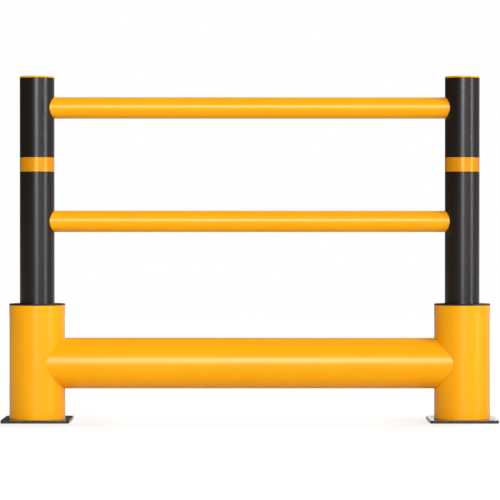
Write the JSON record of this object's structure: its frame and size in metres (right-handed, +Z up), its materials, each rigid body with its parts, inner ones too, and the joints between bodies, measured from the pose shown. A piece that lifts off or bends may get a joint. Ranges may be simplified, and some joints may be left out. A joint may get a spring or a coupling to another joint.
{
  "type": "modular handrail bay",
  "caption": "Floor-mounted modular handrail bay: black posts with yellow sleeves on steel base plates, a thick bottom rail and slimmer handrails above.",
  "frame": {"origin": "on the floor, midway between the two posts, at the middle of the underside of the overall box", "axes": "+X along the bay from the left post to the right post, +Y across the bay, +Z up"},
  "size_m": [1.74, 0.24, 1.216],
  "materials": {
    "yellow_plastic": "satin moulded polymer, traffic yellow",
    "black_plastic": "satin moulded polymer, warm black",
    "collar_plastic": "matt black moulded ring",
    "band_film": "smooth yellow band, unprinted",
    "plate_steel": "dark grey coated steel plate",
    "spigot_steel": "plain steel tube"
  },
  "bodies": {
    "root": {"base_plate_left": "plate_steel", "base_plate_right": "plate_steel", "anchor_spigot_left": "spigot_steel", "anchor_spigot_right": "spigot_steel", "post_left": "black_plastic", "post_right": "black_plastic", "post_cap_left": "yellow_plastic", "post_cap_right": "yellow_plastic", "post_band_left": "band_film", "post_band_right": "band_film", "sleeve_left": "yellow_plastic", "sleeve_right": "yellow_plastic", "sleeve_collar_left": "collar_plastic", "sleeve_collar_right": "collar_plastic", "bottom_rail": "yellow_plastic", "middle_handrail": "yellow_plastic", "top_handrail": "yellow_plastic"}
  },
  "joints": []
}
